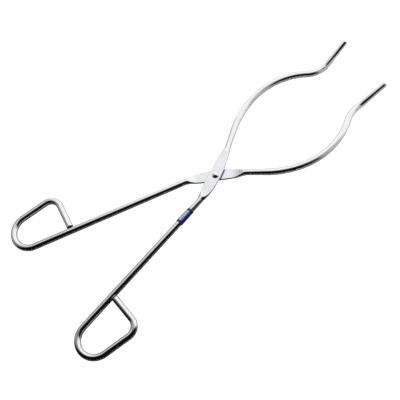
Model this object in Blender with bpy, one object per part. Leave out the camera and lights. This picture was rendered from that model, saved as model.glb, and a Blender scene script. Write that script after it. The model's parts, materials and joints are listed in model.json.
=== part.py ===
"""Crucible tongs: two arms bent from round stainless rod, crossing in a riveted half-lap.

Metres, +Z up. The pivot's axis is the Z axis, z = 0 is the plane that the rods rest on, the jaws
point to +Y and the finger loops to -Y. Each arm is worked out in its own frame, with its forged
flat along Y, and is then turned out by REST_OPENING. The rear arm is the front arm's mirror image
with a slightly narrower flat, which lies under the front arm's. The flats cross at CROSSING, a
little off the rivet's axis.
"""

import math

import bmesh
import bpy
from mathutils import Matrix, Vector

MM = 0.001

# The rod, and how far each arm is turned out from the line of its flat at rest.
ROD_RADIUS = 3.5 * MM
NECK_RADIUS = 3.0 * MM
NECK_END = 62.0 * MM
TIP_RADIUS = 2.75 * MM
END_BEVEL = 0.4 * MM
REST_OPENING = math.radians(31.95)
CROSSING = Vector((-1.2 * MM, -0.8 * MM, 0.0))

# Handle side of an arm, going away from the pivot.
HANDLE_FLAT_LENGTH = 15.3 * MM
HANDLE_BEND_LENGTH = 10.6 * MM
HANDLE_BEND = math.radians(-18.3)
SHANK_LENGTH = 170.8 * MM
LOOP_RADIUS = 18.0 * MM
LOOP_TURN = math.radians(167.0)
LOOP_SIDE_LENGTH = 27.5 * MM
CORNER_RADIUS = 11.7 * MM
CORNER_TURN = math.radians(95.4)
ROD_END_GAP = 0.5 * MM

# Jaw side of an arm, going away from the pivot.
JAW_FLAT_LENGTH = 23.1 * MM
JAW_BEND_LENGTH = 10.6 * MM
JAW_BEND = math.radians(6.3)
JAW_RUN_LENGTH = 19.9 * MM
WIDE_BOW_RADIUS = 91.1 * MM
WIDE_BOW_TURN = math.radians(-24.5)
TIGHT_BOW_RADIUS = 68.9 * MM
TIGHT_BOW_TURN = math.radians(-51.9)
RECURVE_RADIUS = 26.8 * MM
RECURVE_TURN = math.radians(44.5)
TIP_LENGTH = 29.2 * MM

# The tips bend up out of the tongs' plane.
LIFTED_LENGTH = 29.5 * MM
LIFT_SLOPE = math.tan(math.radians(23.2))
LIFT_BEND_HALF = 3.5 * MM

# The forged flat in the middle of each arm, and the lap of the two flats. Widths are from the rod's
# centre line to one edge of the leaf. The outer edge is the one on the bowed side of the jaw.
# Leaf lengths and ramps are pairs or ranges measured from the crossing.
FRONT_INNER_WIDTH = 7.0 * MM
REAR_INNER_WIDTH = 6.3 * MM
INNER_LEAF = (28.0 * MM, 33.5 * MM)
INNER_FULLNESS = (2.0, 2.4)
OUTER_HANDLE_WIDTH = 6.4 * MM
OUTER_JAW_WIDTH = 5.2 * MM
OUTER_STEP = (-15.0 * MM, 6.0 * MM)
OUTER_LEAF = (31.0 * MM, 32.5 * MM)
OUTER_FULLNESS = (4.0, 4.0)
LEAF_POWER = 1.3
FLAT_THICKNESS = 2.4 * MM
FLAT_EDGE_RADIUS = 0.35 * MM
LAP_GAP = 0.2 * MM
HANDLE_RAMP = (18.5 * MM, 28.0 * MM)
JAW_RAMP = (17.0 * MM, 30.5 * MM)

# The rivet.
RIVET_RADIUS = 2.0 * MM
RIVET_HOLE_RADIUS = 2.09 * MM
RIVET_HEAD_RADIUS = 3.5 * MM
RIVET_HEAD_HEIGHT = 2.2 * MM
RIVET_TAIL_RADIUS = 3.0 * MM
RIVET_TAIL_BEVEL = 0.15 * MM
RIVET_TAIL_THICKNESS = 0.4 * MM
RIVET_HEAD_GAP = 0.2 * MM

# The label sleeve round the front arm's shank.
SLEEVE_START = 42.8 * MM
SLEEVE_LENGTH = 17.4 * MM
SLEEVE_GAP = 0.08 * MM
SLEEVE_THICKNESS = 0.17 * MM

# Mesh fineness.
CORNER_POINTS = 6
ARC_STEP = math.radians(5.0)
LEAF_STATIONS = 14
NECK_STATIONS = 8
SLEEVE_STATIONS = 4
RIVET_SIDES = 48
DOME_STEPS = 8
SMOOTH_ANGLE = math.radians(30.0)


def clear_scene():
    for obj in list(bpy.data.objects):
        bpy.data.objects.remove(obj, do_unlink=True)


def steel(name, shade, roughness):
    return material(name, (shade, shade, shade * 1.01), roughness, 1.0)


def material(name, colour, roughness, metallic):
    made = bpy.data.materials.new(name)
    made.use_nodes = True
    shader = made.node_tree.nodes["Principled BSDF"]
    shader.inputs["Base Color"].default_value = (*colour, 1.0)
    shader.inputs["Roughness"].default_value = roughness
    shader.inputs["Metallic"].default_value = metallic
    return made


def ease(value, start, end):
    """0 before start, 1 after end, with a smooth rise between them."""
    t = min(max((value - start) / (end - start), 0.0), 1.0)
    return t * t * (3.0 - 2.0 * t)


def blend(first, second, share):
    return first + (second - first) * share


# ---------------------------------------------------------------- the rod's route


def handle_moves():
    """(length, turn) of each stretch from the pivot to the rod's end at the finger loop."""
    moves = [
        (HANDLE_FLAT_LENGTH, 0.0),
        (HANDLE_BEND_LENGTH, HANDLE_BEND),
        (SHANK_LENGTH, 0.0),
        (LOOP_RADIUS * LOOP_TURN, LOOP_TURN),
        (LOOP_SIDE_LENGTH, 0.0),
        (CORNER_RADIUS * CORNER_TURN, CORNER_TURN),
    ]
    return moves + [(loop_return_length(), 0.0)]


def loop_return_length():
    """Length of the last stretch of the loop, which stops just short of its own shank."""
    heading = LOOP_TURN + CORNER_TURN
    offset = LOOP_RADIUS * (1.0 - math.cos(LOOP_TURN)) + LOOP_SIDE_LENGTH * math.sin(LOOP_TURN)
    offset += CORNER_RADIUS * (math.cos(LOOP_TURN) - math.cos(heading))
    reach = ROD_RADIUS * (1.0 + abs(math.cos(heading))) + ROD_END_GAP
    return (offset - reach) / abs(math.sin(heading))


def jaw_moves():
    """(length, turn) of each stretch from the pivot to the tip, measured in the tongs' plane."""
    return [
        (JAW_FLAT_LENGTH, 0.0),
        (JAW_BEND_LENGTH, JAW_BEND),
        (JAW_RUN_LENGTH, 0.0),
        (WIDE_BOW_RADIUS * abs(WIDE_BOW_TURN), WIDE_BOW_TURN),
        (TIGHT_BOW_RADIUS * abs(TIGHT_BOW_TURN), TIGHT_BOW_TURN),
        (RECURVE_RADIUS * RECURVE_TURN, RECURVE_TURN),
        (TIP_LENGTH, 0.0),
    ]


def total_length(moves):
    return sum(length for length, _ in moves)


def place_on(moves, heading, distance):
    """Point and heading on a route of straight runs and arcs that starts at the pivot."""
    x = 0.0
    y = 0.0
    left = distance
    for length, turn in moves:
        run = min(left, length)
        turned = turn * run / length
        if turned:
            radius = run / turned
            x += radius * (math.sin(heading + turned) - math.sin(heading))
            y += radius * (math.cos(heading) - math.cos(heading + turned))
        else:
            x += run * math.cos(heading)
            y += run * math.sin(heading)
        heading += turned
        left -= run
        if left <= 0.0:
            break
    return x, y, heading


def arc_stations(moves):
    """Distances of the ends of every stretch, and of enough places inside each arc."""
    stations = []
    start = 0.0
    for length, turn in moves:
        parts = max(1, math.ceil(abs(turn) / ARC_STEP))
        stations += [start + length * i / parts for i in range(1, parts + 1)]
        start += length
    return stations


def tip_lift(distance):
    """Height above the tongs' plane, and slope, at a distance along the jaw."""
    past = distance - (total_length(jaw_moves()) - LIFTED_LENGTH)
    if past <= -LIFT_BEND_HALF:
        return 0.0, 0.0
    if past >= LIFT_BEND_HALF:
        return LIFT_SLOPE * past, LIFT_SLOPE
    reach = past + LIFT_BEND_HALF
    return LIFT_SLOPE * reach * reach / (4.0 * LIFT_BEND_HALF), LIFT_SLOPE * reach / (2.0 * LIFT_BEND_HALF)


def lift_stations():
    middle = total_length(jaw_moves()) - LIFTED_LENGTH
    return [middle + LIFT_BEND_HALF * share for share in (-1.0, -0.33, 0.33, 1.0)]


def even_stations(start, end, count):
    return [start + (end - start) * i / count for i in range(count + 1)]


# ---------------------------------------------------------------- the rod's cross-section


def flat_levels(on_top):
    """Bottom and top of an arm's forged flat."""
    if on_top:
        bottom = ROD_RADIUS + LAP_GAP / 2.0
    else:
        bottom = ROD_RADIUS - LAP_GAP / 2.0 - FLAT_THICKNESS
    return bottom, bottom + FLAT_THICKNESS


def rod_radius(distance):
    """Thinner in the neck beside the flat and towards the tip. Distance is negative on the handle side."""
    taper_start = total_length(jaw_moves()) - TIP_LENGTH - RECURVE_RADIUS * RECURVE_TURN
    radius = blend(NECK_RADIUS, ROD_RADIUS, ease(abs(distance), HANDLE_RAMP[1], NECK_END))
    return blend(radius, TIP_RADIUS, ease(distance, taper_start, total_length(jaw_moves())))


def leaf_width(distance, width, leaf, fullness):
    """From the centre line to one edge of the arm, where leaf and fullness are (handle, jaw) pairs."""
    jaw_side = int(distance > 0.0)
    reached = min(abs(distance) / leaf[jaw_side], 1.0)
    return blend(rod_radius(distance), width, (1.0 - reached ** fullness[jaw_side]) ** LEAF_POWER)


def section(distance, on_top):
    """Outer and inner width, bottom, top and edge radius of the arm."""
    radius = rod_radius(distance)
    roundness = ease(abs(distance), *(HANDLE_RAMP if distance < 0.0 else JAW_RAMP))
    outer_width = blend(OUTER_HANDLE_WIDTH, OUTER_JAW_WIDTH, ease(distance, *OUTER_STEP))
    outer = leaf_width(distance, outer_width, OUTER_LEAF, OUTER_FULLNESS)
    inner_width = FRONT_INNER_WIDTH if on_top else REAR_INNER_WIDTH
    inner = leaf_width(distance, inner_width, INNER_LEAF, INNER_FULLNESS)
    bottom, top = flat_levels(on_top)
    bottom = blend(bottom, ROD_RADIUS - radius, roundness)
    top = blend(top, ROD_RADIUS + radius, roundness)
    edge = blend(FLAT_EDGE_RADIUS, radius, roundness)
    return outer, inner, bottom, top, min(edge, (outer + inner) / 2.0, (top - bottom) / 2.0)


def outline(outer, inner, bottom, top, edge):
    """Rounded rectangle as (across, height) points; a circle when the edge radius fills it.

    Its facets lie on the true shape and its corners just outside it.
    """
    points = []
    spread = 1.0 / math.cos(math.pi / 4.0 / CORNER_POINTS)
    centre = (outer - inner) / 2.0
    half_width = (inner + outer) / 2.0
    middle = (bottom + top) / 2.0
    half_height = (top - bottom) / 2.0
    quarters = ((1, 1), (-1, 1), (-1, -1), (1, -1))
    for quarter, (side, level) in enumerate(quarters):
        for i in range(CORNER_POINTS):
            angle = math.pi / 2.0 * (quarter + (i + 0.5) / CORNER_POINTS)
            across = side * (half_width - edge) + edge * spread * math.cos(angle)
            height = level * (half_height - edge) + edge * spread * math.sin(angle)
            points.append((centre + across, middle + height))
    return points


def shrink(points, amount):
    """The same outline pulled in towards its centre, for a bevelled end."""
    middle = sum(height for _, height in points) / len(points)
    pulled = []
    for across, height in points:
        share = 1.0 - amount / math.hypot(across, height - middle)
        pulled.append((across * share, middle + (height - middle) * share))
    return pulled


def ring_at(distance, on_top, side, inset=0.0):
    """One ring of the rod's surface, in the arm's own frame. side is -1 for the mirrored arm."""
    if distance < 0.0:
        x, y, heading = place_on(handle_moves(), -math.pi / 2.0, -distance)
        heading += math.pi
        height, slope = 0.0, 0.0
    else:
        x, y, heading = place_on(jaw_moves(), math.pi / 2.0, distance)
        height, slope = tip_lift(distance)
    points = outline(*section(distance, on_top))
    if inset:
        points = shrink(points, inset)
    tilt = math.atan(slope)
    across_way = Vector((-math.sin(heading), math.cos(heading), 0.0))
    up_way = Vector((-math.sin(tilt) * math.cos(heading), -math.sin(tilt) * math.sin(heading), math.cos(tilt)))
    centre = Vector((x, y, height + ROD_RADIUS))
    shift = crossing_shift(side)
    ring = []
    for across, level in points:
        point = centre + across_way * across + up_way * (level - ROD_RADIUS)
        ring.append(Vector((point.x * side, point.y, point.z)) + shift)
    return ring


def crossing_shift(side):
    """The place where the flats cross, as the arm sees it before it is turned out."""
    return Matrix.Rotation(-REST_OPENING * side, 3, "Z") @ CROSSING


# ---------------------------------------------------------------- meshes


def skin(name, rings, closed=False):
    """A mesh through the rings, capped at both ends, or joined end to end when closed."""
    shape = bmesh.new()
    rows = [[shape.verts.new(point) for point in ring] for ring in rings]
    pairs = list(zip(rows, rows[1:]))
    if closed:
        pairs.append((rows[-1], rows[0]))
    else:
        shape.faces.new(rows[0])
        shape.faces.new(rows[-1])
    for first, second in pairs:
        for i in range(len(first)):
            j = (i + 1) % len(first)
            shape.faces.new((first[i], first[j], second[j], second[i]))
    bmesh.ops.recalc_face_normals(shape, faces=shape.faces)
    mesh = bpy.data.meshes.new(name)
    shape.to_mesh(mesh)
    shape.free()
    mesh.shade_smooth()
    mesh.set_sharp_from_angle(angle=SMOOTH_ANGLE)
    return mesh


def circle(radius, level, sides):
    turns = [2.0 * math.pi * i / sides for i in range(sides)]
    return [Vector((radius * math.cos(turn), radius * math.sin(turn), level)) for turn in turns]


def place(name, mesh, finish):
    obj = bpy.data.objects.new(name, mesh)
    obj.data.materials.append(finish)
    bpy.context.scene.collection.objects.link(obj)
    return obj


def rivet_hole_cutter():
    top = ROD_RADIUS * 3.0
    sides = [circle(RIVET_HOLE_RADIUS, level, RIVET_SIDES) for level in (-ROD_RADIUS, top)]
    cutter = place("rivet_hole_cutter", skin("rivet_hole_cutter", sides), steel("cutter", 0.5, 0.5))
    cutter.hide_render = True
    cutter.display_type = "WIRE"
    return cutter


def arm(name, on_top, side, cutter, finish):
    """One arm: the bent rod with its forged flat, drilled for the rivet."""
    handle = handle_moves()
    jaw = jaw_moves()
    handle_end = total_length(handle)
    jaw_end = total_length(jaw)
    away = arc_stations(handle)[:-1] + even_stations(0.0, OUTER_LEAF[0], LEAF_STATIONS)
    away += even_stations(OUTER_LEAF[0], SLEEVE_START, NECK_STATIONS // 2)
    away += even_stations(SLEEVE_START, SLEEVE_START + SLEEVE_LENGTH, SLEEVE_STATIONS)
    away += [NECK_END, handle_end - END_BEVEL]
    onward = arc_stations(jaw)[:-1] + even_stations(0.0, INNER_LEAF[1], LEAF_STATIONS)
    onward += even_stations(INNER_LEAF[1], NECK_END, NECK_STATIONS)
    onward += lift_stations() + [jaw_end - END_BEVEL]
    stations = sorted({round(d, 6) for d in [-d for d in away] + onward})
    rings = [ring_at(-handle_end, on_top, side, END_BEVEL)]
    rings += [ring_at(distance, on_top, side) for distance in stations]
    rings += [ring_at(jaw_end, on_top, side, END_BEVEL)]
    made = place(name, skin(name, rings), finish)
    made.rotation_euler.z = REST_OPENING * side
    drill = made.modifiers.new("rivet_hole", "BOOLEAN")
    drill.operation = "DIFFERENCE"
    drill.solver = "EXACT"
    drill.object = cutter
    return made


def pivot_rivet(finish):
    """A domed head over the lap, a shank through both holes, and a flat tail under it."""
    head_level = flat_levels(True)[1] + RIVET_HEAD_GAP
    dome_radius = (RIVET_HEAD_RADIUS**2 + RIVET_HEAD_HEIGHT**2) / (2.0 * RIVET_HEAD_HEIGHT)
    dome_centre = head_level + RIVET_HEAD_HEIGHT - dome_radius
    dome_angle = math.asin(RIVET_HEAD_RADIUS / dome_radius)
    profile = [
        (RIVET_TAIL_RADIUS - RIVET_TAIL_BEVEL, 0.0),
        (RIVET_TAIL_RADIUS, RIVET_TAIL_BEVEL),
        (RIVET_TAIL_RADIUS, RIVET_TAIL_THICKNESS),
        (RIVET_RADIUS, RIVET_TAIL_THICKNESS),
        (RIVET_RADIUS, head_level),
    ]
    for i in range(DOME_STEPS):
        angle = dome_angle * (1.0 - i / DOME_STEPS)
        profile.append((dome_radius * math.sin(angle), dome_centre + dome_radius * math.cos(angle)))
    rings = [circle(radius, level, RIVET_SIDES) for radius, level in profile]
    return place("pivot_rivet", skin("pivot_rivet", rings), finish)


def label_sleeve(finish):
    """A thin printed sleeve round the front arm's shank."""
    ends = (SLEEVE_START, SLEEVE_START + SLEEVE_LENGTH)
    path = even_stations(*ends, SLEEVE_STATIONS)
    steps = [(SLEEVE_GAP + SLEEVE_THICKNESS, distance) for distance in path]
    steps += [(SLEEVE_GAP, distance) for distance in reversed(path)]
    rings = []
    for clearance, distance in steps:
        radius = rod_radius(-distance) + clearance
        x, y, heading = place_on(handle_moves(), -math.pi / 2.0, distance)
        turn = Matrix.Rotation(heading, 3, "Z")
        centre = Vector((x, y, ROD_RADIUS)) + crossing_shift(1.0)
        points = outline(radius, radius, -radius, radius, radius)
        rings.append([centre + turn @ Vector((0.0, across, up)) for across, up in points])
    return place("label_sleeve", skin("label_sleeve", rings, closed=True), finish)


def build():
    clear_scene()
    cutter = rivet_hole_cutter()
    rear = arm("rear_arm", False, -1.0, cutter, steel("rear_arm_steel", 0.72, 0.18))
    front = arm("front_arm", True, 1.0, cutter, steel("front_arm_steel", 0.72, 0.18))
    rivet = pivot_rivet(steel("rivet_steel", 0.74, 0.14))
    sleeve = label_sleeve(material("label_blue", (0.03, 0.08, 0.42), 0.35, 0.0))
    rivet.parent = rear
    rivet.rotation_euler.z = -rear.rotation_euler.z
    sleeve.parent = front


build()
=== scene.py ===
"""Looks of the crucible tongs: both bent-rod arms, the rivet and the label, made over the CAD frame."""

import json
import math

import bmesh
import bpy
from mathutils import Matrix, Vector

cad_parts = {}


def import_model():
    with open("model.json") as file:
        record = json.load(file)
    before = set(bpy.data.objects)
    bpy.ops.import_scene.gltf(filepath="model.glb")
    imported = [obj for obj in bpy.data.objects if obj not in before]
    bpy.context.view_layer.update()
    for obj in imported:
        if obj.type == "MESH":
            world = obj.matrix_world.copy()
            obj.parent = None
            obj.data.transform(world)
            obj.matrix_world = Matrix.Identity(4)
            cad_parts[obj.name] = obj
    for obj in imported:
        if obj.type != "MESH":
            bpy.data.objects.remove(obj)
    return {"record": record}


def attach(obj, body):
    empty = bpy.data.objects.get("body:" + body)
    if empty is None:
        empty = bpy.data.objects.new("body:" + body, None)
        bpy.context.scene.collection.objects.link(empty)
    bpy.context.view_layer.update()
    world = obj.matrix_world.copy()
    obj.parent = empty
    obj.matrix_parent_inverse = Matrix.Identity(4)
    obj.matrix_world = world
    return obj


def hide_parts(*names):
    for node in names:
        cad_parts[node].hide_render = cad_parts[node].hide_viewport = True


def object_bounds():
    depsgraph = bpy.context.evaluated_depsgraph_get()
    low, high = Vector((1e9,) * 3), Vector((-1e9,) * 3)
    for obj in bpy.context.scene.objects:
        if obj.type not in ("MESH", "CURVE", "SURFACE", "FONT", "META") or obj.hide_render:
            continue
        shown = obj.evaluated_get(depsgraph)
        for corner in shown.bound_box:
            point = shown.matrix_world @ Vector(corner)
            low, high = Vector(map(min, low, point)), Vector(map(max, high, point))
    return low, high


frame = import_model()
cad_low, cad_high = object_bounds()

MM = 0.001

# The rod: its thickness, and its route from the rivet to the finger loop and to the tip.
# CROSSING is where the two arms' routes cross, measured from the rivet's axis.
ROD_RADIUS = 3.5 * MM
NECK_RADIUS = 3.0 * MM
NECK_END = 62.0 * MM
TIP_RADIUS = 2.75 * MM
END_BEVEL = 0.4 * MM
REST_OPENING = math.radians(31.95)
CROSSING = Vector((-1.2 * MM, -0.8 * MM, 0.0))
HANDLE_FLAT_LENGTH = 15.3 * MM
HANDLE_BEND_LENGTH = 10.6 * MM
HANDLE_BEND = math.radians(-18.3)
SHANK_LENGTH = 170.8 * MM
LOOP_RADIUS = 18.0 * MM
LOOP_TURN = math.radians(167.0)
LOOP_SIDE_LENGTH = 27.5 * MM
CORNER_RADIUS = 11.7 * MM
CORNER_TURN = math.radians(95.4)
ROD_END_GAP = 0.5 * MM
JAW_FLAT_LENGTH = 23.1 * MM
JAW_BEND_LENGTH = 10.6 * MM
JAW_BEND = math.radians(6.3)
JAW_RUN_LENGTH = 19.9 * MM
WIDE_BOW_RADIUS = 91.1 * MM
WIDE_BOW_TURN = math.radians(-24.5)
TIGHT_BOW_RADIUS = 68.9 * MM
TIGHT_BOW_TURN = math.radians(-51.9)
RECURVE_RADIUS = 26.8 * MM
RECURVE_TURN = math.radians(44.5)
TIP_LENGTH = 29.2 * MM
LIFTED_LENGTH = 29.5 * MM
LIFT_SLOPE = math.tan(math.radians(23.2))
LIFT_BEND_HALF = 3.5 * MM

# The forged leaf at the pivot: its levels, its widths and the ramps back to round rod. LEAF and
# FULLNESS pairs are (handle side, jaw side). OUTER_STEP and the ramps are (start, end) distances.
FLAT_THICKNESS = 2.4 * MM
LAP_GAP = 0.2 * MM
FRONT_INNER_WIDTH = 7.0 * MM
REAR_INNER_WIDTH = 6.3 * MM
INNER_LEAF = (28.0 * MM, 33.5 * MM)
INNER_FULLNESS = (2.0, 2.4)
OUTER_HANDLE_WIDTH = 6.4 * MM
OUTER_JAW_WIDTH = 5.2 * MM
OUTER_STEP = (-15.0 * MM, 6.0 * MM)
OUTER_LEAF = (31.0 * MM, 32.5 * MM)
OUTER_FULLNESS = (4.0, 4.0)
LEAF_POWER = 1.3
HANDLE_RAMP = (18.5 * MM, 28.0 * MM)
JAW_RAMP = (17.0 * MM, 30.5 * MM)
RAMP_POWER = 1.7
ROUND_CLEARANCE = 1.12  # in rod radii: pressed levels this far out leave the rod round

# The rivet.
RIVET_RADIUS = 2.0 * MM
RIVET_HOLE_RADIUS = 2.09 * MM
RIVET_HEAD_RADIUS = 3.5 * MM
RIVET_HEAD_HEIGHT = 2.2 * MM
RIVET_TAIL_RADIUS = 3.0 * MM
RIVET_TAIL_BEVEL = 0.15 * MM
RIVET_TAIL_THICKNESS = 0.4 * MM
RIVET_HEAD_GAP = 0.2 * MM
RIVET_RIM_ROUNDING = 0.25 * MM

# The label, and the light panel of plain bars printed on it.
SLEEVE_START = 42.8 * MM
SLEEVE_LENGTH = 17.4 * MM
SLEEVE_GAP = 0.08 * MM
SLEEVE_THICKNESS = 0.17 * MM
SLEEVE_BEVEL = 0.05 * MM
# Each PANEL pair is where the light ink starts to fade and where it has gone.
PANEL_HALF_LENGTH = (6.0 * MM, 6.6 * MM)
PANEL_HALF_WIDTH = (1.9 * MM, 2.3 * MM)
BAR_PITCH = 2.6 * MM
BAR_SLANT = 0.25

# The studio: a lit tent with an unlit, open side towards the camera and the handles, and a dark card.
STUDIO_LOW = Vector((-0.61, -0.47, -0.002))
STUDIO_HIGH = Vector((0.21, 0.60, 0.64))
FLAG_LOW = Vector((0.005, 0.162, 0.012))
FLAG_HIGH = Vector((0.005, 0.205, 0.110))
JAW_WAY = (0.0, 1.0, 0.0)
UNLIT = 0.005
WHITE = 1.2
FLOOR_HALF_WIDTH = 6.0
FLOOR_DROP = 0.2 * MM
FLOOR_SHADE = 0.75
FLOOR_JAW_SHADE = 0.95

# The camera: its place round the pivot, and how far it slides, in shares of its distance.
CAMERA_AZIMUTH = math.radians(84.81)
CAMERA_ELEVATION = math.radians(62.38)
CAMERA_ROLL = math.radians(-30.58)
CAMERA_DISTANCE = 0.8941
CAMERA_LENS = 81.0
CAMERA_SENSOR = 36.0
AIM_RIGHT = 0.01634
AIM_DOWN = -0.02708

# The steel, and the shade painted into the corners where the arms lap and where the rod's end meets the
# shank.
STEEL_SHADE = 0.80
CREVICE_REACH = 2.6 * MM
# CREVICE_SHADE is the near-black colour that is painted in as shade.
CREVICE_SHADE = (0.05, 0.05, 0.055, 1.0)
CREVICE_LAP = (13.0 * MM, 18.0 * MM)
CREVICE_END = 6.0 * MM
ALL_WAYS = (1.0, 1.0, 1.0)  # a grain that isn't stretched

# Fineness of the surfaces.
SIDES = 96
ARC_STEP = math.radians(2.5)
FLAT_STEP = 0.4 * MM
TIP_STEP = 0.8 * MM
ROD_END_STEP = 0.5 * MM
HANDLE_FINE_LENGTH = 40.0 * MM
JAW_FINE_LENGTH = 42.0 * MM
TIP_FINE_LENGTH = 40.0 * MM
ROD_END_FINE_LENGTH = 2.0 * MM
BEVEL_SHARE = 0.3
DOME_STEPS = 32
SLEEVE_STEPS = 16
EDGE_SOFTNESS = 0.3 * MM
SKIN_INSET = 0.015 * MM
SHARP_ANGLE = math.radians(38.0)


def ease(value, start, end):
    """From 0 to 1 between start and end, level at both."""
    t = min(max((value - start) / (end - start), 0.0), 1.0)
    return t * t * (3.0 - 2.0 * t)


def blend(first, second, share):
    return first + (second - first) * share


# ---------------------------------------------------------------- the rod's route


def handle_moves():
    """The handle's route as (length, turn) moves. The last one stops short of the rod's own shank."""
    heading = LOOP_TURN + CORNER_TURN
    offset = LOOP_RADIUS * (1.0 - math.cos(LOOP_TURN)) + LOOP_SIDE_LENGTH * math.sin(LOOP_TURN)
    offset += CORNER_RADIUS * (math.cos(LOOP_TURN) - math.cos(heading))
    reach = ROD_RADIUS * (1.0 + abs(math.cos(heading))) + ROD_END_GAP
    return [
        (HANDLE_FLAT_LENGTH, 0.0),
        (HANDLE_BEND_LENGTH, HANDLE_BEND),
        (SHANK_LENGTH, 0.0),
        (LOOP_RADIUS * LOOP_TURN, LOOP_TURN),
        (LOOP_SIDE_LENGTH, 0.0),
        (CORNER_RADIUS * CORNER_TURN, CORNER_TURN),
        ((offset - reach) / abs(math.sin(heading)), 0.0),
    ]


def jaw_moves():
    """The jaw's route as (length, turn) moves."""
    return [
        (JAW_FLAT_LENGTH, 0.0),
        (JAW_BEND_LENGTH, JAW_BEND),
        (JAW_RUN_LENGTH, 0.0),
        (WIDE_BOW_RADIUS * abs(WIDE_BOW_TURN), WIDE_BOW_TURN),
        (TIGHT_BOW_RADIUS * abs(TIGHT_BOW_TURN), TIGHT_BOW_TURN),
        (RECURVE_RADIUS * RECURVE_TURN, RECURVE_TURN),
        (TIP_LENGTH, 0.0),
    ]


def total_length(moves):
    return sum(length for length, _ in moves)


def place_on(moves, heading, distance):
    """Where a point this far along the moves is, and its heading there."""
    x = 0.0
    y = 0.0
    left = distance
    for length, turn in moves:
        run = min(left, length)
        turned = turn * run / length
        if turned:
            radius = run / turned
            x += radius * (math.sin(heading + turned) - math.sin(heading))
            y += radius * (math.cos(heading) - math.cos(heading + turned))
        else:
            x += run * math.cos(heading)
            y += run * math.sin(heading)
        heading += turned
        left -= run
        if left <= 0.0:
            break
    return x, y, heading


def arc_stations(moves):
    """Distances at the end of each straight move and every few degrees of a turn."""
    stations = []
    start = 0.0
    for length, turn in moves:
        parts = max(1, math.ceil(abs(turn) / ARC_STEP))
        stations += [start + length * i / parts for i in range(1, parts + 1)]
        start += length
    return stations


def tip_lift(distance):
    """How high the bent-up tip is at this distance, and its slope."""
    past = distance - (total_length(jaw_moves()) - LIFTED_LENGTH)
    if past <= -LIFT_BEND_HALF:
        return 0.0, 0.0
    if past >= LIFT_BEND_HALF:
        return LIFT_SLOPE * past, LIFT_SLOPE
    reach = past + LIFT_BEND_HALF
    return LIFT_SLOPE * reach * reach / (4.0 * LIFT_BEND_HALF), LIFT_SLOPE * reach / (2.0 * LIFT_BEND_HALF)


def even_stations(start, end, step):
    """Distances from start to end, no more than step apart."""
    count = max(1, math.ceil((end - start) / step))
    return [start + (end - start) * i / count for i in range(count + 1)]


# ---------------------------------------------------------------- the rod's cross-section


def flat_levels(on_top):
    """The leaf's lower and upper level: the front arm's lies on the rear arm's."""
    if on_top:
        bottom = ROD_RADIUS + LAP_GAP / 2.0
    else:
        bottom = ROD_RADIUS - LAP_GAP / 2.0 - FLAT_THICKNESS
    return bottom, bottom + FLAT_THICKNESS


def rod_radius(distance):
    """Thinner at the neck beside the leaf, and thinner again towards the tip."""
    taper_start = total_length(jaw_moves()) - TIP_LENGTH - RECURVE_RADIUS * RECURVE_TURN
    radius = blend(NECK_RADIUS, ROD_RADIUS, ease(abs(distance), HANDLE_RAMP[1], NECK_END))
    return blend(radius, TIP_RADIUS, ease(distance, taper_start, total_length(jaw_moves())))


def leaf_width(distance, width, leaf, fullness):
    """Half the leaf: its full width at the rivet, down to the rod's radius at its point."""
    jaw_side = int(distance > 0.0)
    reached = min(abs(distance) / leaf[jaw_side], 1.0)
    return blend(rod_radius(distance), width, (1.0 - reached ** fullness[jaw_side]) ** LEAF_POWER)


def section(distance, on_top):
    """Radius, outer and inner width, and the two levels that the rod is pressed flat at."""
    radius = rod_radius(distance)
    outer_width = blend(OUTER_HANDLE_WIDTH, OUTER_JAW_WIDTH, ease(distance, *OUTER_STEP))
    outer = leaf_width(distance, outer_width, OUTER_LEAF, OUTER_FULLNESS)
    inner_width = FRONT_INNER_WIDTH if on_top else REAR_INNER_WIDTH
    inner = leaf_width(distance, inner_width, INNER_LEAF, INNER_FULLNESS)
    ramp = HANDLE_RAMP if distance < 0.0 else JAW_RAMP
    low, high = flat_levels(on_top)
    rise = min(max((abs(distance) - ramp[0]) / (ramp[1] - ramp[0]), 0.0), 1.0) ** RAMP_POWER
    bottom = blend(low, ROD_RADIUS - radius * ROUND_CLEARANCE, rise)
    top = blend(high, ROD_RADIUS + radius * ROUND_CLEARANCE, rise)
    return radius, outer, inner, bottom, top


def soft_min(value, limit, softness):
    """The smaller of two, with the corner between them rounded off."""
    h = min(max(0.5 + 0.5 * (limit - value) / softness, 0.0), 1.0)
    return blend(limit, value, h) - softness * h * (1.0 - h)


def outline(radius, outer, inner, bottom, top):
    """(across, height, flatness) round a rod whose top and bottom are pressed flat at two levels."""
    points = []
    half_width = (outer + inner) / 2.0
    centre = (outer - inner) / 2.0
    middle = blend(ROD_RADIUS, (bottom + top) / 2.0, ease(half_width, radius, radius * 1.5))
    for i in range(SIDES):
        angle = 2.0 * math.pi * (i + 0.5) / SIDES
        across = centre + half_width * math.cos(angle)
        reach = abs(radius * math.sin(angle))
        limit = (top - middle) if math.sin(angle) > 0.0 else (middle - bottom)
        height = soft_min(reach, limit, EDGE_SOFTNESS) if limit < radius + EDGE_SOFTNESS else reach
        flatness = ease(reach - limit, -0.1 * MM, 0.15 * MM)
        points.append((across, middle + math.copysign(height, math.sin(angle)), flatness))
    return points


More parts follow.
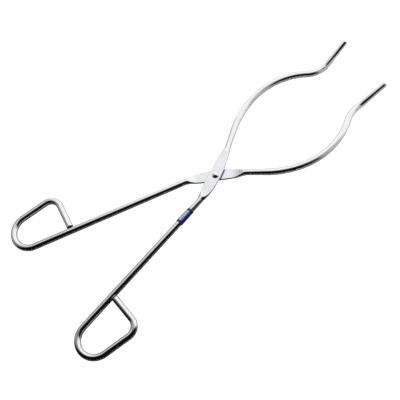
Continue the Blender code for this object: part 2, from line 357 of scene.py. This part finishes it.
def ring_at(distance, on_top, side, inset=0.0):
    """One ring of an arm, at a distance from the rivet: negative in the handle, positive in the jaw."""
    if distance < 0.0:
        x, y, heading = place_on(handle_moves(), -math.pi / 2.0, -distance)
        heading += math.pi
        height, slope = 0.0, 0.0
    else:
        x, y, heading = place_on(jaw_moves(), math.pi / 2.0, distance)
        height, slope = tip_lift(distance)
    points = outline(*section(distance, on_top))
    share = 1.0 - (inset + SKIN_INSET) / rod_radius(distance)
    tilt = math.atan(slope)
    across_way = Vector((-math.sin(heading), math.cos(heading), 0.0))
    along_way = Vector((math.cos(heading), math.sin(heading), 0.0))
    up_way = Vector((0.0, 0.0, math.cos(tilt))) - along_way * math.sin(tilt)
    centre = Vector((x, y, height + ROD_RADIUS))
    turn = Matrix.Rotation(REST_OPENING * side, 3, "Z")
    ring = []
    for across, level, flatness in points:
        point = centre + (across_way * across + up_way * (level - ROD_RADIUS)) * share
        point.x *= side
        ring.append((turn @ point + CROSSING, Vector((distance, across, level - ROD_RADIUS)), flatness))
    return ring


# ---------------------------------------------------------------- meshes


def skin(name, rings, closed=False):
    """Rings of (point, lay, flatness) to a smooth mesh. lay is the point on the straightened rod."""
    shape = bmesh.new()
    flat_layer = shape.verts.layers.float.new("flat")
    lay_layer = shape.verts.layers.float_vector.new("lay")
    rows = []
    for ring in rings:
        row = []
        for point, lay, flatness in ring:
            vert = shape.verts.new(point)
            vert[flat_layer] = flatness
            vert[lay_layer] = lay
            row.append(vert)
        rows.append(row)
    pairs = list(zip(rows, rows[1:]))
    if closed:
        pairs.append((rows[-1], rows[0]))
    else:
        shape.faces.new(rows[0])
        shape.faces.new(rows[-1])
    for first, second in pairs:
        for i in range(len(first)):
            j = (i + 1) % len(first)
            shape.faces.new((first[i], first[j], second[j], second[i]))
    bmesh.ops.recalc_face_normals(shape, faces=shape.faces)
    mesh = bpy.data.meshes.new(name)
    shape.to_mesh(mesh)
    shape.free()
    mesh.shade_smooth()
    mesh.set_sharp_from_angle(angle=SHARP_ANGLE)
    return mesh


def place(name, mesh, finish):
    obj = bpy.data.objects.new(name, mesh)
    obj.data.materials.append(finish)
    bpy.context.scene.collection.objects.link(obj)
    return obj


def arm(name, on_top, side, cutter, finish):
    """One bent rod, with finer rings over the leaf, the tip and the rod's end. side mirrors it."""
    handle = handle_moves()
    jaw = jaw_moves()
    handle_end = total_length(handle)
    jaw_end = total_length(jaw)
    away = arc_stations(handle)[:-1] + even_stations(0.0, HANDLE_FINE_LENGTH, FLAT_STEP)
    away += even_stations(handle_end - ROD_END_FINE_LENGTH, handle_end - END_BEVEL, ROD_END_STEP)
    onward = arc_stations(jaw)[:-1] + even_stations(0.0, JAW_FINE_LENGTH, FLAT_STEP)
    onward += even_stations(jaw_end - TIP_FINE_LENGTH, jaw_end - END_BEVEL, TIP_STEP)
    stations = sorted({round(d, 6) for d in [-d for d in away] + onward})
    bevel = END_BEVEL * BEVEL_SHARE
    rings = [ring_at(-handle_end, on_top, side, END_BEVEL)]
    rings.append(ring_at(-handle_end + bevel, on_top, side, bevel))
    rings += [ring_at(distance, on_top, side) for distance in stations]
    rings.append(ring_at(jaw_end - bevel, on_top, side, bevel))
    rings.append(ring_at(jaw_end, on_top, side, END_BEVEL))
    made = place(name, skin(name, rings), finish)
    drill = made.modifiers.new("rivet_hole", "BOOLEAN")
    drill.operation = "DIFFERENCE"
    drill.solver = "EXACT"
    drill.object = cutter
    return made


def lathe_ring(radius, level):
    """A circle round the pivot's axis."""
    ring = []
    for i in range(SIDES):
        turn = 2.0 * math.pi * i / SIDES
        point = Vector((radius * math.cos(turn), radius * math.sin(turn), level))
        ring.append((point, point.copy(), 0.0))
    return ring


def rivet_hole_cutter():
    """The drill for both arms' rivet holes."""
    rings = [lathe_ring(RIVET_HOLE_RADIUS, level) for level in (-ROD_RADIUS, ROD_RADIUS * 3.0)]
    mesh = skin("rivet_hole_cutter", rings)
    cutter = bpy.data.objects.new("rivet_hole_cutter", mesh)
    bpy.context.scene.collection.objects.link(cutter)
    cutter.hide_render = True
    cutter.hide_viewport = True
    cutter.display_type = "WIRE"
    return cutter


def pivot_rivet(finish):
    """A domed head over the lap, a shank through both holes, and a flat tail under it."""
    head_level = flat_levels(True)[1] + RIVET_HEAD_GAP
    dome_radius = (RIVET_HEAD_RADIUS**2 + RIVET_HEAD_HEIGHT**2) / (2.0 * RIVET_HEAD_HEIGHT)
    dome_centre = head_level + RIVET_HEAD_HEIGHT - dome_radius
    dome_angle = math.asin(RIVET_HEAD_RADIUS / dome_radius)
    profile = [
        (RIVET_TAIL_RADIUS - RIVET_TAIL_BEVEL, 0.0),
        (RIVET_TAIL_RADIUS, RIVET_TAIL_BEVEL),
        (RIVET_TAIL_RADIUS, RIVET_TAIL_THICKNESS),
        (RIVET_RADIUS, RIVET_TAIL_THICKNESS),
        (RIVET_RADIUS, head_level),
        (RIVET_HEAD_RADIUS - RIVET_RIM_ROUNDING, head_level),
    ]
    for i in range(1, DOME_STEPS):
        angle = dome_angle * (1.0 - i / DOME_STEPS)
        profile.append((dome_radius * math.sin(angle), dome_centre + dome_radius * math.cos(angle)))
    mesh = skin("pivot_rivet_fine", [lathe_ring(*step) for step in profile])
    return place("pivot_rivet_fine", mesh, finish)


def label_sleeve(finish):
    """A thin printed film round the front arm's shank."""
    turn = Matrix.Rotation(REST_OPENING, 3, "Z")
    full = SLEEVE_GAP + SLEEVE_THICKNESS
    places = [SLEEVE_LENGTH * i / SLEEVE_STEPS for i in range(SLEEVE_STEPS + 1)]
    steps = [(full - SLEEVE_BEVEL, 0.0), (full, SLEEVE_BEVEL)]
    steps += [(full, distance) for distance in places[1:-1]]
    steps += [(full, SLEEVE_LENGTH - SLEEVE_BEVEL), (full - SLEEVE_BEVEL, SLEEVE_LENGTH)]
    steps += [(SLEEVE_GAP, distance) for distance in reversed(places)]
    rings = []
    for clearance, distance in steps:
        radius = rod_radius(-SLEEVE_START - distance) + clearance
        x, y, heading = place_on(handle_moves(), -math.pi / 2.0, SLEEVE_START + distance)
        frame_turn = Matrix.Rotation(heading, 3, "Z")
        ring = []
        for i in range(SIDES):
            angle = 2.0 * math.pi * i / SIDES
            offset = Vector((0.0, radius * math.cos(angle), radius * math.sin(angle)))
            point = turn @ (Vector((x, y, ROD_RADIUS)) + frame_turn @ offset) + CROSSING
            ring.append((point, Vector((distance, offset.y, offset.z)), 0.0))
        rings.append(ring)
    return place("label_sleeve_fine", skin("label_sleeve_fine", rings, closed=True), finish)


# ---------------------------------------------------------------- materials


class Graph:
    """Short calls for building one material's nodes."""

    def __init__(self, name):
        self.material = bpy.data.materials.new(name)
        self.material.use_nodes = True
        self.nodes = self.material.node_tree.nodes
        self.links = self.material.node_tree.links

    def put(self, value, socket):
        """Link an output to a socket, or set the socket to a plain value."""
        if isinstance(value, bpy.types.NodeSocket):
            self.links.new(value, socket)
        else:
            socket.default_value = value

    def add(self, kind, settings=None, **inputs):
        """A node of this kind. settings are its properties, inputs its sockets with _ for spaces."""
        node = self.nodes.new(kind)
        for key, value in (settings or {}).items():
            setattr(node, key, value)
        for key, value in inputs.items():
            self.put(value, node.inputs[key.replace("_", " ")])
        return node

    def attribute(self, name):
        return self.add("ShaderNodeAttribute", {"attribute_name": name})

    def math(self, operation, *values):
        node = self.add("ShaderNodeMath", {"operation": operation})
        for socket, value in zip(node.inputs, values):
            self.put(value, socket)
        return node.outputs[0]

    def plus(self, first, second):
        return self.math("ADD", first, second)

    def minus(self, first, second):
        return self.math("SUBTRACT", first, second)

    def times(self, first, second):
        return self.math("MULTIPLY", first, second)

    def remap(self, value, low, high, to_low, to_high, interpolation="LINEAR"):
        node = self.add(
            "ShaderNodeMapRange", {"interpolation_type": interpolation},
            Value=value, From_Min=low, From_Max=high, To_Min=to_low, To_Max=to_high,
        )
        return node.outputs["Result"]

    def soft_step(self, value, low, high, to_low, to_high):
        return self.remap(value, low, high, to_low, to_high, "SMOOTHSTEP")

    def noise(self, vector, stretch, scale, detail=3.0, roughness=0.55):
        mapped = self.add("ShaderNodeMapping", Vector=vector, Scale=stretch).outputs[0]
        node = self.add(
            "ShaderNodeTexNoise", Vector=mapped, Scale=scale, Detail=detail, Roughness=roughness
        )
        return node.outputs["Fac"]

    def mix_colour(self, share, first, second):
        node = self.add("ShaderNodeMix", {"data_type": "RGBA"})
        for index, value in ((0, share), (6, first), (7, second)):
            self.put(value, node.inputs[index])
        return node.outputs[2]

    def finish(self, colour, roughness, metallic, height):
        """Feed the Principled shader, with a bump from a height in metres."""
        shader = self.nodes["Principled BSDF"]
        bump = self.add("ShaderNodeBump", Height=height, Strength=1.0, Distance=1.0)
        self.put(colour, shader.inputs["Base Color"])
        self.put(roughness, shader.inputs["Roughness"])
        self.put(metallic, shader.inputs["Metallic"])
        self.put(bump.outputs[0], shader.inputs["Normal"])
        return self.material


def steel_tint(red, green, blue):
    return (STEEL_SHADE * red, STEEL_SHADE * green, STEEL_SHADE * blue, 1.0)


def painted_shade_share(graph, lay, flat):
    """1 where shade is painted into the colour: in the corners beside the lap, on the leaf's side faces and
    at the rod's end.
    """
    # Ambient occlusion finds the closed-in corners, and shade is painted into the colour there.
    open_sky = graph.add("ShaderNodeAmbientOcclusion", {"samples": 8}, Distance=CREVICE_REACH).outputs["AO"]
    along = graph.add("ShaderNodeSeparateXYZ", Vector=lay).outputs["X"]
    near_lap = graph.soft_step(graph.math("ABSOLUTE", along), *CREVICE_LAP, 1.0, 0.0)
    rod_end = total_length(handle_moves())
    near_end = graph.soft_step(along, -rod_end, CREVICE_END - rod_end, 1.0, 0.0)
    side_face = graph.times(near_lap, graph.minus(1.0, flat))
    closed = graph.times(graph.minus(1.0, open_sky), graph.math("MAXIMUM", near_lap, near_end))
    # The leaf's side faces near the lap get painted shade even where nothing closes them in.
    light = graph.minus(graph.minus(1.0, closed), graph.times(side_face, 0.30))
    return graph.soft_step(light, 0.35, 0.80, 1.0, 0.0)


def steel_material(name, seed):
    """Electropolished rod: a bright mirror with faint drawing lines; satin where it was forged flat."""
    graph = Graph(name)
    lay = graph.attribute("lay").outputs["Vector"]
    flat = graph.attribute("flat").outputs["Fac"]
    offset = (seed, seed * 0.37, seed * 0.11)
    shifted = graph.add("ShaderNodeMapping", Vector=lay, Location=offset).outputs[0]

    cloud = graph.noise(shifted, ALL_WAYS, 130.0, 4.0)
    lines = graph.noise(shifted, (0.04, 1.0, 1.0), 5200.0, 2.0)
    grain = graph.noise(shifted, ALL_WAYS, 3100.0, 3.0, 0.7)
    forged = graph.noise(shifted, (1.0, 0.22, 1.0), 900.0, 5.0, 0.65)
    scratch = graph.noise(shifted, (0.25, 1.0, 1.0), 1500.0, 2.0, 0.8)

    rod_shade = graph.mix_colour(
        graph.soft_step(cloud, 0.35, 0.65, 0.0, 1.0),
        steel_tint(0.975, 0.965, 0.965),
        steel_tint(1.02, 1.015, 1.02),
    )
    flat_shade = graph.mix_colour(
        graph.soft_step(forged, 0.30, 0.70, 0.0, 1.0),
        (0.80, 0.805, 0.83, 1.0),
        (0.90, 0.905, 0.93, 1.0),
    )
    unshaded_colour = graph.mix_colour(flat, rod_shade, flat_shade)
    # Painted shade: the steel's colour is mixed towards near-black in the corners.
    colour = graph.mix_colour(painted_shade_share(graph, lay, flat), unshaded_colour, CREVICE_SHADE)

    line_rough = graph.remap(lines, 0.55, 0.8, 0.0, 0.03)
    rod_rough = graph.plus(graph.remap(cloud, 0.3, 0.7, 0.035, 0.065), line_rough)
    flat_rough = graph.remap(grain, 0.3, 0.7, 0.30, 0.42)
    roughness = graph.plus(rod_rough, graph.times(graph.minus(flat_rough, rod_rough), flat))

    line_height = graph.times(lines, 0.0006 * MM)
    flat_height = graph.plus(graph.times(forged, 0.030 * MM), graph.times(scratch, 0.006 * MM))
    height = graph.plus(line_height, graph.times(flat_height, flat))
    return graph.finish(colour, roughness, 1.0, height)


def rivet_material():
    """Polished rivet steel with turning rings and small dents left by the peening."""
    graph = Graph("rivet_steel_fine")
    lay = graph.attribute("lay").outputs["Vector"]
    dents = graph.noise(lay, ALL_WAYS, 700.0, 3.0)
    round_axis = {"wave_type": "RINGS", "rings_direction": "Z"}
    rings = graph.add("ShaderNodeTexWave", round_axis, Vector=lay, Scale=2600.0).outputs["Fac"]
    colour = graph.mix_colour(dents, (0.84, 0.84, 0.85, 1.0), (0.92, 0.92, 0.93, 1.0))
    roughness = graph.plus(graph.remap(dents, 0.3, 0.7, 0.05, 0.10), graph.times(rings, 0.03))
    return graph.finish(colour, roughness, 1.0, graph.times(dents, 0.010 * MM))


def label_material():
    """Glossy navy film with a light panel of plain bars on top, and no lettering."""
    graph = Graph("label_film_fine")
    lay = graph.attribute("lay").outputs["Vector"]
    along, across, up = graph.add("ShaderNodeSeparateXYZ", Vector=lay).outputs
    wear = graph.noise(lay, ALL_WAYS, 900.0, 3.0)
    from_middle = graph.math("ABSOLUTE", graph.minus(along, SLEEVE_LENGTH * 0.5))
    in_length = graph.soft_step(from_middle, *PANEL_HALF_LENGTH, 1.0, 0.0)
    in_width = graph.soft_step(graph.math("ABSOLUTE", across), *PANEL_HALF_WIDTH, 1.0, 0.0)
    on_top = graph.math("GREATER_THAN", up, 0.0)
    slanted = graph.plus(along, graph.times(across, BAR_SLANT))
    phase = graph.math("FRACT", graph.math("DIVIDE", slanted, BAR_PITCH))
    bars = graph.soft_step(phase, 0.74, 0.84, 1.0, 0.15)
    ink = graph.times(graph.times(in_length, in_width), graph.times(on_top, bars))
    navy = graph.mix_colour(wear, (0.014, 0.028, 0.170, 1.0), (0.028, 0.052, 0.280, 1.0))
    light = graph.mix_colour(wear, (0.42, 0.56, 1.00, 1.0), (0.58, 0.72, 1.00, 1.0))
    colour = graph.mix_colour(ink, navy, light)
    roughness = graph.remap(wear, 0.3, 0.7, 0.16, 0.28)
    return graph.finish(colour, roughness, graph.times(ink, 0.85), graph.times(wear, 0.006 * MM))


# ---------------------------------------------------------------- stage


def quad(name, corners, finish):
    mesh = bpy.data.meshes.new(name)
    mesh.from_pydata(corners, [], [tuple(range(len(corners)))])
    obj = place(name, mesh, finish)
    return obj


def level_quad(name, low, high, level, finish):
    corners = [(low.x, low.y, level), (high.x, low.y, level), (high.x, high.y, level), (low.x, high.y, level)]
    return quad(name, corners, finish)


def hide_from_camera(obj):
    obj.visible_camera = False
    obj.visible_shadow = False


def glow_material(name):
    """An emission material, with the socket that sets how bright it is."""
    graph = Graph(name)
    graph.nodes.clear()
    glow = graph.add("ShaderNodeEmission", Color=(1.0, 1.0, 1.0, 1.0))
    graph.add("ShaderNodeOutputMaterial", Surface=glow.outputs[0])
    graph.material.cycles.emission_sampling = "NONE"
    return graph, glow.inputs["Strength"]


def fade(graph, direction, start, width, dark, light):
    """From dark to light along a direction, over a soft width."""
    along = graph.add("ShaderNodeVectorMath", {"operation": "DOT_PRODUCT"})
    graph.put(graph.add("ShaderNodeNewGeometry").outputs["Position"], along.inputs[0])
    graph.put(direction, along.inputs[1])
    return graph.soft_step(along.outputs["Value"], start, start + width, dark, light)


def wall(name, corners, direction, steps):
    """A panel whose glow rises in soft steps along a direction: (start, width, light gained)."""
    graph, strength = glow_material(name)
    total = UNLIT
    for start, width, gain in steps:
        total = graph.plus(fade(graph, direction, start, width, 0.0, gain / STEEL_SHADE), total)
    graph.put(total, strength)
    hide_from_camera(quad(name, corners, graph.material))


def all_over(gain):
    """A step that is past before the wall starts, so the whole wall gains this light."""
    return -9.0, 1.0, gain


def walls(low, high):
    """The tent's four sides, each with the light that the rods' stripes ask for."""
    ends = [(low.y, low.z), (high.y, low.z), (high.y, high.z), (low.y, high.z)]
    sides = [(low.x, low.z), (high.x, low.z), (high.x, high.z), (low.x, high.z)]
    camera_side = [(0.020, 0.060, 0.03), (0.092, 0.050, 0.30), (0.150, 0.040, 0.12), (0.240, 0.090, 0.40)]
    far_side = [all_over(0.34), (-0.310, 0.24, 0.54)]
    wall("wall_camera_side", [(high.x, y, z) for y, z in ends], JAW_WAY, camera_side)
    wall("wall_far_side", [(low.x, y, z) for y, z in ends], (0.0, 1.0, -0.37), far_side)
    wall("wall_handle_end", [(x, low.y, z) for x, z in sides], (-1.0, 0.0, 0.0), [(0.064, 0.26, 0.29)])
    wall("wall_jaw_end", [(x, high.y, z) for x, z in sides], JAW_WAY, [all_over(0.89)])


def ceiling(low, high):
    """Bright over the jaws' side, unlit over the camera's corner, and dimmer past the handles."""
    graph, strength = glow_material("ceiling")
    far = fade(graph, JAW_WAY, -0.45, 0.08, 0.25 / STEEL_SHADE, 0.90 / STEEL_SHADE)
    graph.put(fade(graph, (-0.717, 0.697, 0.0), -0.21, 0.47, UNLIT, far), strength)
    hide_from_camera(level_quad("ceiling", low, high, high.z, graph.material))


def floor(low, high, level):
    """White to the camera; to the reflections it is a matt sheet that the tent lights."""
    graph, strength = glow_material("floor_white")
    graph.put(WHITE, strength)
    seen = level_quad("floor", low, high, level, graph.material)
    seen.visible_glossy = False
    seen.visible_diffuse = False
    seen.visible_shadow = False
    sheet = Graph("floor_sheet")
    shader = sheet.nodes["Principled BSDF"]
    jaw_side = fade(sheet, JAW_WAY, -0.03, 0.09, 0.0, 1.0)
    greys = [(shade, shade, shade, 1.0) for shade in (FLOOR_SHADE, FLOOR_JAW_SHADE)]
    sheet.put(sheet.mix_colour(jaw_side, *greys), shader.inputs["Base Color"])
    sheet.put(sheet.remap(jaw_side, 0.0, 1.0, 0.6, 0.25), shader.inputs["Metallic"])
    sheet.put(0.30, shader.inputs["Roughness"])
    level_quad("floor_sheet", low, high, level, sheet.material).visible_camera = False


def flag(low, high):
    """A black card beside the jaws' tips that only the upper jaw's mirror side sees."""
    graph = Graph("flag_black")
    graph.nodes.clear()
    side = graph.add("ShaderNodeNewGeometry").outputs["Backfacing"]
    clear = graph.add("ShaderNodeBsdfTransparent", Color=(1.0, 1.0, 1.0, 1.0))
    black = graph.add("ShaderNodeEmission", Color=(0.0, 0.0, 0.0, 1.0))
    mix = graph.add("ShaderNodeMixShader", Fac=side)
    graph.put(black.outputs[0], mix.inputs[1])
    graph.put(clear.outputs[0], mix.inputs[2])
    graph.add("ShaderNodeOutputMaterial", Surface=mix.outputs[0])
    corners = [(low.x, low.y, low.z), (low.x, low.y, high.z), (low.x, high.y, high.z), (low.x, high.y, low.z)]
    card = quad("flag", corners, graph.material)
    hide_from_camera(card)
    card.visible_diffuse = False


def world(level):
    made = bpy.data.worlds.new("studio")
    made.use_nodes = True
    background = made.node_tree.nodes["Background"]
    background.inputs["Color"].default_value = (1.0, 1.0, 1.0, 1.0)
    background.inputs["Strength"].default_value = level
    bpy.context.scene.world = made


def stage():
    walls(STUDIO_LOW, STUDIO_HIGH)
    ceiling(STUDIO_LOW, STUDIO_HIGH)
    flag(FLAG_LOW, FLAG_HIGH)
    reach = Vector((FLOOR_HALF_WIDTH, FLOOR_HALF_WIDTH, 0.0))
    floor(-reach, reach, cad_low.z - FLOOR_DROP)
    world(WHITE)


# ---------------------------------------------------------------- camera


def camera():
    """Looks down at the pivot, rolled, with the pivot a little off the picture's middle."""
    pivot = Vector(frame["record"]["behaviour"]["joints"][0]["pos_m"]) + CROSSING
    right = Vector((math.cos(CAMERA_AZIMUTH), math.sin(CAMERA_AZIMUTH), 0.0))
    away = Vector((math.sin(CAMERA_AZIMUTH), -math.cos(CAMERA_AZIMUTH), 0.0))
    back = away * math.cos(CAMERA_ELEVATION) + Vector((0.0, 0.0, math.sin(CAMERA_ELEVATION)))
    up = back.cross(right)
    rolled_right = right * math.cos(CAMERA_ROLL) + up * math.sin(CAMERA_ROLL)
    rolled_up = up * math.cos(CAMERA_ROLL) - right * math.sin(CAMERA_ROLL)
    slide = rolled_right * AIM_RIGHT - rolled_up * AIM_DOWN
    pose = Matrix((rolled_right, rolled_up, back)).transposed().to_4x4()
    pose.translation = pivot + CAMERA_DISTANCE * (back - slide)
    data = bpy.data.cameras.new("camera")
    data.sensor_width = CAMERA_SENSOR
    data.lens = CAMERA_LENS
    obj = bpy.data.objects.new("camera", data)
    bpy.context.scene.collection.objects.link(obj)
    obj.matrix_world = pose
    bpy.context.scene.camera = obj


def build():
    cutter = rivet_hole_cutter()
    front = arm("front_arm_fine", True, 1.0, cutter, steel_material("front_steel_fine", 0.31))
    rear = arm("rear_arm_fine", False, -1.0, cutter, steel_material("rear_steel_fine", 0.83))
    rivet = pivot_rivet(rivet_material())
    label = label_sleeve(label_material())
    for piece, body, node, slot in (
        (front, "front", "front_arm", "front_arm_steel"),
        (rear, "rear", "rear_arm", "rear_arm_steel"),
        (rivet, "rear", "pivot_rivet", "rivet_steel"),
        (label, "front", "label_sleeve", "label_film"),
    ):
        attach(piece, body)
        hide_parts(node)
    stage()
    camera()
    bpy.context.scene.view_settings.view_transform = "Standard"


build()
